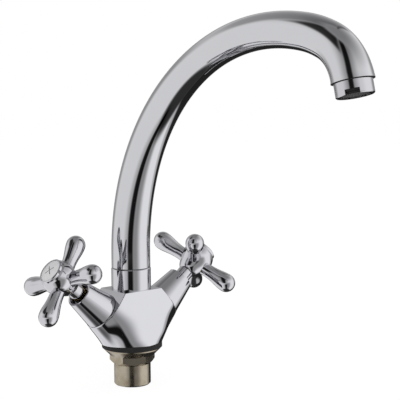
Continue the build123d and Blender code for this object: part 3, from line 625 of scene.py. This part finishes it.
def take_away(piece, tool):
    """Cut a tool's shape out of a piece, and put the tool away."""
    cut = piece.modifiers.new(tool.name, "BOOLEAN")
    cut.operation = "DIFFERENCE"
    cut.solver = "EXACT"
    cut.object = tool
    evaluated = piece.evaluated_get(bpy.context.evaluated_depsgraph_get())
    rest = bpy.data.meshes.new_from_object(evaluated)
    piece.modifiers.clear()
    piece.data = rest
    bpy.data.objects.remove(tool)


def surfaced(piece, finish, crease):
    """One finish all over, smooth except where faces meet at more than the crease."""
    piece.data.materials.clear()
    piece.data.materials.append(finish)
    piece.data.shade_smooth()
    piece.data.set_sharp_from_angle(angle=math.radians(crease))


for name, place, corners in BORES:
    bore = solid(name, [ring_of(lambda turn: radius, z, BORE_POINTS) for radius, z in corners])
    bore.data.transform(place)
    take_away(body, bore)
surfaced(body, finishes["body_chrome"], BODY_CREASE)
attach(body, "fixed")
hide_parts("mixer_body")
print("bored body faces:", len(body.data.polygons))

# %% [markdown]
# ## Shapes from Geometry Nodes
# A shape that follows a rule can be written as a tree of nodes with its sizes as inputs. The
# tree is run once on an empty mesh, its result is kept as a plain mesh, and the modifier goes.

# %% Run a tree and keep its mesh
def shaped(name, sizes, build, finish):
    """Plain object made by a geometry tree; build() gets the tree and a wire for each size."""
    group = bpy.data.node_groups.new(name, "GeometryNodeTree")
    group.interface.new_socket("Geometry", in_out="OUTPUT", socket_type="NodeSocketGeometry")
    inputs = {size: group.interface.new_socket(size, in_out="INPUT", socket_type="NodeSocketFloat")
              for size in sizes}
    recipe = Recipe(group)
    given = group.nodes.new("NodeGroupInput")
    shape = build(recipe, {size: Wire(recipe, given.outputs[size]) for size in sizes})
    shape = recipe.node("GeometryNodeRealizeInstances", {}, shape)
    shape = recipe.node("GeometryNodeSetMaterial", {}, shape, Material=finish)
    recipe.node("NodeGroupOutput", {}, shape)
    piece = bpy.data.objects.new(name, bpy.data.meshes.new(name))
    scene.collection.objects.link(piece)
    modifier = piece.modifiers.new(name, "NODES")
    modifier.node_group = group
    for size, value in sizes.items():
        modifier[inputs[size].identifier] = value
    evaluated = piece.evaluated_get(bpy.context.evaluated_depsgraph_get())
    plain = bpy.data.meshes.new_from_object(evaluated)
    piece.modifiers.clear()
    piece.data = plain
    plain.shade_smooth()
    plain.set_sharp_from_angle(angle=math.radians(TUBE_CREASE))
    print(name, "faces:", len(plain.polygons))
    return piece


print("tree runner ready")

# %% [markdown]
# ## The spout's middle line
# The real spout is a tube bent over formers: a short straight rise, a wide swan bend, a short
# tighter stretch and a tight bend at the tip. It could be a drawn curve, but bent tube is made of
# straight runs and arcs, so the line is the sum of them: each piece adds its share of the way,
# from nothing before it starts to its whole length after it ends. The same function works on
# plain numbers, for the place of the outlet, and on wires, for every ring of the tube.

# %% Walk along the spout
SPOUT = {
    "Foot height": 61.62 * MM,
    "Rise": 10.9 * MM,
    "Swan radius": 162.9 * MM,
    "Swan turn": math.radians(99.0),
    "Ease radius": 82.7 * MM,
    "Ease turn": math.radians(14.4),
    "Tip radius": 35.0 * MM,
    "Tip turn": math.radians(52.6),
    "Tip length": 0.5 * MM,
    "Foot": 14.7 * MM,
    "Waist": 11.7 * MM,
    "Outlet": 13.4 * MM,
    "Wall": 2.2 * MM,
    "Lip": 0.2 * MM,
    "Foot bore": 13.0 * MM,
    "Thread": 10.95 * MM,
    "Outlet bore": 9.0 * MM,
}
BENDS = (("Swan radius", "Swan turn"), ("Ease radius", "Ease turn"), ("Tip radius", "Tip turn"))


def sine(angle):
    return angle.sum("SINE", angle) if isinstance(angle, Wire) else math.sin(angle)


def cosine(angle):
    return angle.sum("COSINE", angle) if isinstance(angle, Wire) else math.cos(angle)


def within(value, top):
    if isinstance(value, Wire):
        return value.sum("MINIMUM", value.sum("MAXIMUM", value, 0.0), top)
    return min(max(value, 0.0), top)


def spout_length(sizes):
    return sum((sizes[radius] * sizes[turn] for radius, turn in BENDS),
               sizes["Rise"] + sizes["Tip length"])


def middle_line(station, sizes):
    """Y and Z of a point of the middle line, and how far it leans from upright."""
    walked = within(station, sizes["Rise"])
    y = 0.0
    z = sizes["Foot height"] + walked
    start = sizes["Rise"]
    before = 0.0
    lean = 0.0
    for radius_name, turn_name in BENDS:
        radius = sizes[radius_name]
        angle = within((station - start) / radius, sizes[turn_name])
        y = y - (cosine(before) - cosine(before + angle)) * radius
        z = z + (sine(before + angle) - sine(before)) * radius
        lean = lean + angle
        start = start + radius * sizes[turn_name]
        before = before + sizes[turn_name]
    ahead = within(station - start, 1.0)
    return y - ahead * sine(before), z + ahead * cosine(before), lean


outlet_y, outlet_z, outlet_lean = middle_line(spout_length(SPOUT), SPOUT)
print("outlet at", round(outlet_y, 4), round(outlet_z, 4))

# %% [markdown]
# ## A chain of short tubes
# Curve to Mesh could sweep a circle along the line, but a hollow piece needs one closed skin with
# its wall, bore and end faces. So a skin is a chain of short tubes. Each takes a plain cylinder's
# points and moves them round the line, at a radius that is a size or a rule. The chain runs up
# the outside, turns at the end and comes back inside, and where two tubes meet, their points are
# merged. The same helper makes the spout round its bent line and the aerator round a straight one.

# %% Chain tubes round a line
MERGE_WITHIN = 0.004 * MM


def split_position(recipe):
    """X, Y and Z of a point, each a wire."""
    position = recipe.node("GeometryNodeInputPosition", {})
    parts = recipe.node("ShaderNodeSeparateXYZ", {}, position)
    return [Wire(recipe, socket) for socket in parts.socket.node.outputs]


def straight(station):
    return 0.0, station, 0.0


def tube_chain(recipe, line, points_around, links):
    """Closed skin; a link is its rings, two stations, and the radius at each."""
    x, y, z = split_position(recipe)
    around = z.sum("ARCTAN2", y, x)
    along = z + 0.5
    tubes = []
    for rings, first, last, first_radius, last_radius in links:
        barrel = recipe.node("GeometryNodeMeshCylinder", {"fill_type": "NONE"}, Radius=1.0,
                             Vertices=points_around, Side_Segments=rings, Depth=1.0)
        station = first + along * (last - first)
        low, high = (rule(station, around) if callable(rule) else rule
                     for rule in (first_radius, last_radius))
        radius = low + along * (high - low)
        line_y, line_z, lean = line(station)
        side = radius * sine(around)
        place = recipe.node("ShaderNodeCombineXYZ", {}, radius * cosine(around),
                            line_y + side * cosine(lean), line_z + side * sine(lean))
        tubes.append(recipe.node("GeometryNodeSetPosition", {}, barrel, Position=place))
    joined = recipe.node("GeometryNodeJoinGeometry", {}, tubes)
    return recipe.node("GeometryNodeMergeByDistance", {}, joined, Distance=MERGE_WITHIN)


print("chain helper ready")

# %% [markdown]
# ## The spout tube
# The tube's thickness follows a rule: thick at the foot, slim at a waist past the top, and fuller
# again at the outlet, with a fine rolled lip at its very end. The foot is bored out for the
# nipple that it turns on, and the outlet ends in a threaded fitting for the aerator.

# %% Make the spout
SPOUT_POINTS = 96
WAIST_PLACE, WAIST_STEP = 0.62, 1e-4
WIDENING = 2.6
LIP_START, LIP_END = 2.0 * MM, 0.2 * MM
HEAD_DEPTH = 8.0 * MM
FITTING_DEPTH = 6.0 * MM
THREAD_LENGTH = 4.0 * MM


def spout_skin(recipe, sizes):
    length = spout_length(sizes)

    def rule(station):
        share = station / length
        swing = (1.0 + cosine(share * (math.pi / WAIST_PLACE))) / 2.0
        widening = within((share - WAIST_PLACE) / (1.0 - WAIST_PLACE), 1.0) ** WIDENING
        before_waist = 1.0 - share.rising(WAIST_PLACE - WAIST_STEP, WAIST_PLACE)
        return (sizes["Waist"] + (sizes["Foot"] - sizes["Waist"]) * swing * before_waist
                + (sizes["Outlet"] - sizes["Waist"]) * widening)

    def outside(station, around):
        return rule(station) + sizes["Lip"] * station.rising(length - LIP_START, length - LIP_END)

    def inside(station, around):
        return rule(station) - sizes["Wall"]

    # Stations have to be wires, the first one as well.
    zero = length * 0.0
    head = zero + HEAD_DEPTH
    fitting = length - FITTING_DEPTH
    thread_end = length + THREAD_LENGTH
    return tube_chain(recipe, lambda station: middle_line(station, sizes), SPOUT_POINTS, [
        (1, zero, zero, sizes["Foot bore"], outside),
        (220, zero, length, outside, outside),
        (1, length, length, outside, sizes["Thread"]),
        (4, length, thread_end, sizes["Thread"], sizes["Thread"]),
        (1, thread_end, thread_end, sizes["Thread"], sizes["Outlet bore"]),
        (8, thread_end, fitting, sizes["Outlet bore"], sizes["Outlet bore"]),
        (1, fitting, fitting, sizes["Outlet bore"], inside),
        (120, fitting, head, inside, inside),
        (1, head, head, inside, sizes["Foot bore"]),
        (4, head, zero, sizes["Foot bore"], sizes["Foot bore"]),
    ])


spout = shaped("spout_skin", SPOUT, spout_skin, finishes["spout_chrome"])
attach(spout, "spout")
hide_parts("spout_tube")

# %% [markdown]
# ## The aerator's housing
# The ring that screws onto the outlet has a square notch in its lower edge, for the key that
# turns it, and through it shows the insert, painted black as shade. The ring is turned by the
# same chain of tubes, and the notch is cut right through its wall with a bar, as a mill would do.

# %% Turn the housing and cut its notch
HOUSING = {
    "Radius": 12.0 * MM,
    "Start": 0.52 * MM,
    "Height": 9.1 * MM,
    "Thread": 11.0 * MM,
    "Mouth": 9.4 * MM,
    "Lip start": 6.8 * MM,
    "Edge": 0.5 * MM,
}
HOUSING_POINTS = 240
NOTCH_START, NOTCH_END = 5.8, 10.5
NOTCH_HALF_WIDTH = 4.5
NOTCH_REACH = 13.0
NOTCH_TURN = math.radians(144.0)
flow = Vector((0.0, -math.sin(outlet_lean), math.cos(outlet_lean)))
side = Vector((0.0, math.cos(outlet_lean), math.sin(outlet_lean)))
to_outlet = Matrix((Vector((1.0, 0.0, 0.0)), side, flow)).transposed().to_4x4()
to_outlet = Matrix.Translation((0.0, outlet_y, outlet_z)) @ to_outlet


def housing_wall(recipe, sizes):
    start, height, thread = sizes["Start"], sizes["Height"], sizes["Thread"]
    mouth, lip = sizes["Mouth"], sizes["Lip start"]

    def outside(station, around):
        return sizes["Radius"] - within(station - (height - sizes["Edge"]), 1.0)

    return tube_chain(recipe, straight, HOUSING_POINTS, [
        (1, start, start, thread, outside),
        (43, start, height, outside, outside),
        (1, height, height, outside, mouth),
        (2, height, lip, mouth, mouth),
        (1, lip, lip, mouth, thread),
        (2, lip, start, thread, thread),
    ])


housing = shaped("aerator_ring", HOUSING, housing_wall, finishes["aerator_chrome"])
corners = [(x * NOTCH_REACH * MM, y * NOTCH_HALF_WIDTH * MM)
           for x, y in ((0, -1), (1, -1), (1, 1), (0, 1))]
bar = solid("notch_bar", [[(x, y, z * MM) for x, y in corners] for z in (NOTCH_START, NOTCH_END)])
bar.data.transform(Matrix.Rotation(NOTCH_TURN, 4, "Z"))
take_away(housing, bar)
surfaced(housing, finishes["aerator_chrome"], TUBE_CREASE)
housing.data.transform(to_outlet)
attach(housing, "spout")
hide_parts("aerator_housing")

# %% [markdown]
# ## The washer over the aerator
# Between the housing and the spout's lip the photograph shows a fine dark line: the edge of a
# thin rubber washer. The helper that turns it is used again for the black rings of painted shade
# under the sleeves.

# %% Turn the washer
WASHER = {"Outside": 12.3 * MM, "Inside": 11.0 * MM, "Start": 0.02 * MM, "End": 0.5 * MM}
WASHER_POINTS = 96


def plain_ring(recipe, sizes):
    start, end = sizes["Start"], sizes["End"]
    inside, outside = sizes["Inside"], sizes["Outside"]
    return tube_chain(recipe, straight, WASHER_POINTS, [
        (1, start, start, inside, outside),
        (2, start, end, outside, outside),
        (1, end, end, outside, inside),
        (2, end, start, inside, inside),
    ])


def rubber_ring(name, sizes, place, carrier):
    ring = shaped(name, sizes, plain_ring, finishes["black_rubber"])
    ring.data.transform(place)
    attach(ring, carrier)


rubber_ring("outlet_washer", WASHER, to_outlet, "spout")

# %% [markdown]
# ## The aerator's screen
# The mouth of the aerator has a fine woven screen of steel wire. A sheet with square holes would
# do from afar, but seen from below the weave catches the light. Each wire is one instance of a
# thin closed cylinder: its number in the row gives its distance from the middle, the circle's
# chord there gives its length, and a cosine carries it over and under its neighbours. Two rows
# at right angles, half a wave apart, make the weave.

# %% Weave the screen
SCREEN = {
    "Radius": 8.5 * MM,
    "Pitch": 0.9 * MM,
    "Wire": 0.11 * MM,
    "Wave": 0.1 * MM,
}
WIRES = 17
WIRE_SIDES, WIRE_RINGS = 6, 70
SCREEN_HEIGHT = 8.25 * MM


def woven(recipe, sizes):
    rows = []
    for crossing in (0, 1):
        points = recipe.node("GeometryNodeMeshLine", {"mode": "OFFSET"}, Count=WIRES,
                             Offset=(0.0, 0.0, 0.0))
        index = recipe.node("GeometryNodeInputIndex", {})
        kept = recipe.node("GeometryNodeCaptureAttribute", {}, points)
        capture = kept.socket.node
        capture.capture_items.new("FLOAT", "number")
        recipe.tree.links.new(index.socket, capture.inputs["number"])
        number = Wire(recipe, capture.outputs["number"])
        barrel = recipe.node("GeometryNodeMeshCylinder", {"fill_type": "TRIANGLE_FAN"},
                             Vertices=WIRE_SIDES, Side_Segments=WIRE_RINGS, Radius=1.0,
                             Depth=2.0)
        wires = recipe.node("GeometryNodeInstanceOnPoints", {}, kept, Instance=barrel)
        wires = recipe.node("GeometryNodeRealizeInstances", {}, wires)
        x, y, z = split_position(recipe)
        from_middle = (number - (WIRES - 1) / 2.0) * sizes["Pitch"]
        chord = z.sum("SQRT", sizes["Radius"] * sizes["Radius"] - from_middle * from_middle)
        along = z * chord
        phase = along * math.pi / sizes["Pitch"] + (number + crossing) * math.pi
        rise = cosine(phase) * sizes["Wave"] + y * sizes["Wire"]
        across = from_middle + x * sizes["Wire"]
        level = (across, along) if crossing else (along, across)
        place = recipe.node("ShaderNodeCombineXYZ", {}, *level, rise)
        row = recipe.node("GeometryNodeSetPosition", {}, wires, Position=place)
        rows.append(recipe.node("GeometryNodeFlipFaces", {}, row) if crossing else row)
    return recipe.node("GeometryNodeJoinGeometry", {}, rows)


# The screen's dark steel is painted shade for the aerator's mouth.
screen = shaped("woven_screen", SCREEN, woven, finishes["screen_steel"])
screen.data.transform(to_outlet @ Matrix.Translation((0.0, 0.0, SCREEN_HEIGHT)))
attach(screen, "spout")
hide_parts("aerator_screen")
print("screen wires:", 2 * WIRES)

# %% [markdown]
# ## Painted shade under the sleeves
# Where a sleeve meets the casting there is a fine dark line of shade in the joint. An empty gap
# between two mirrors would not be dark from every side, so a black ring is put in it as painted
# shade, turned by the washer's helper and carried out along each arm.

# %% Lay the rings of painted shade
# Black rubber rings in the sleeve joints: painted shade for the shadow between sleeve and seat.
JOINT_SHADE_RING = {"Outside": 14.2 * MM, "Inside": 12.4 * MM, "Start": 37.02 * MM, "End": 37.38 * MM}
for name, place in ARM_PLACES.items():
    rubber_ring(name + "_sleeve_seal", JOINT_SHADE_RING, place, "fixed")

# %% [markdown]
# ## Paint in the crosses
# Each handle's button has a thin cross cut into it, and the cut is filled with dark enamel, which
# is why it shows from afar. The enamel is two flat bars that lie in the cut, with their ends and
# edges rounded off by a bevel. They are drawn flat and then carried out along the arm.

# %% Fill the cuts with enamel
HANDLE_PLANE = 79.9
CUT_ABOVE_PLANE = 13.76
CROSS_HEIGHT = (HANDLE_PLANE + CUT_ABOVE_PLANE) * MM
BAR_LENGTH, BAR_WIDTH, BAR_THICKNESS = 8.3 * MM, 0.68 * MM, 0.1 * MM
ROUNDING = 0.03 * MM
CROSS_TURNS = {"hot": 46.9, "cold": 101.6}


def box_faces(start):
    return [tuple(start + corner for corner in face) for face in
            ((0, 3, 2, 1), (4, 5, 6, 7), (0, 1, 5, 4), (1, 2, 6, 5), (2, 3, 7, 6), (3, 0, 4, 7))]


def bar_corners(turn):
    rotate = Matrix.Rotation(turn, 4, "Z")
    flat = [(x * BAR_LENGTH / 2, y * BAR_WIDTH / 2) for x, y in SQUARE]
    return [rotate @ Vector((x, y, z * BAR_THICKNESS / 2)) for z in (-1, 1) for x, y in flat]


for name, turn_degrees in CROSS_TURNS.items():
    corners = []
    for quarter in (0, 1):
        corners += bar_corners(math.radians(turn_degrees + 90 * quarter))
    mesh = bpy.data.meshes.new(name + "_cross_enamel")
    mesh.from_pydata(corners, [], box_faces(0) + box_faces(8))
    mesh.transform(ARM_PLACES[name] @ Matrix.Translation((0.0, 0.0, CROSS_HEIGHT)))
    mesh.materials.append(finishes["grey_plastic"])
    enamel = bpy.data.objects.new(name + "_cross_enamel", mesh)
    scene.collection.objects.link(enamel)
    rounded = enamel.modifiers.new("rounded", "BEVEL")
    rounded.width = ROUNDING
    rounded.segments = 2
    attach(enamel, name + "_handle")
print("crosses painted:", list(CROSS_TURNS))
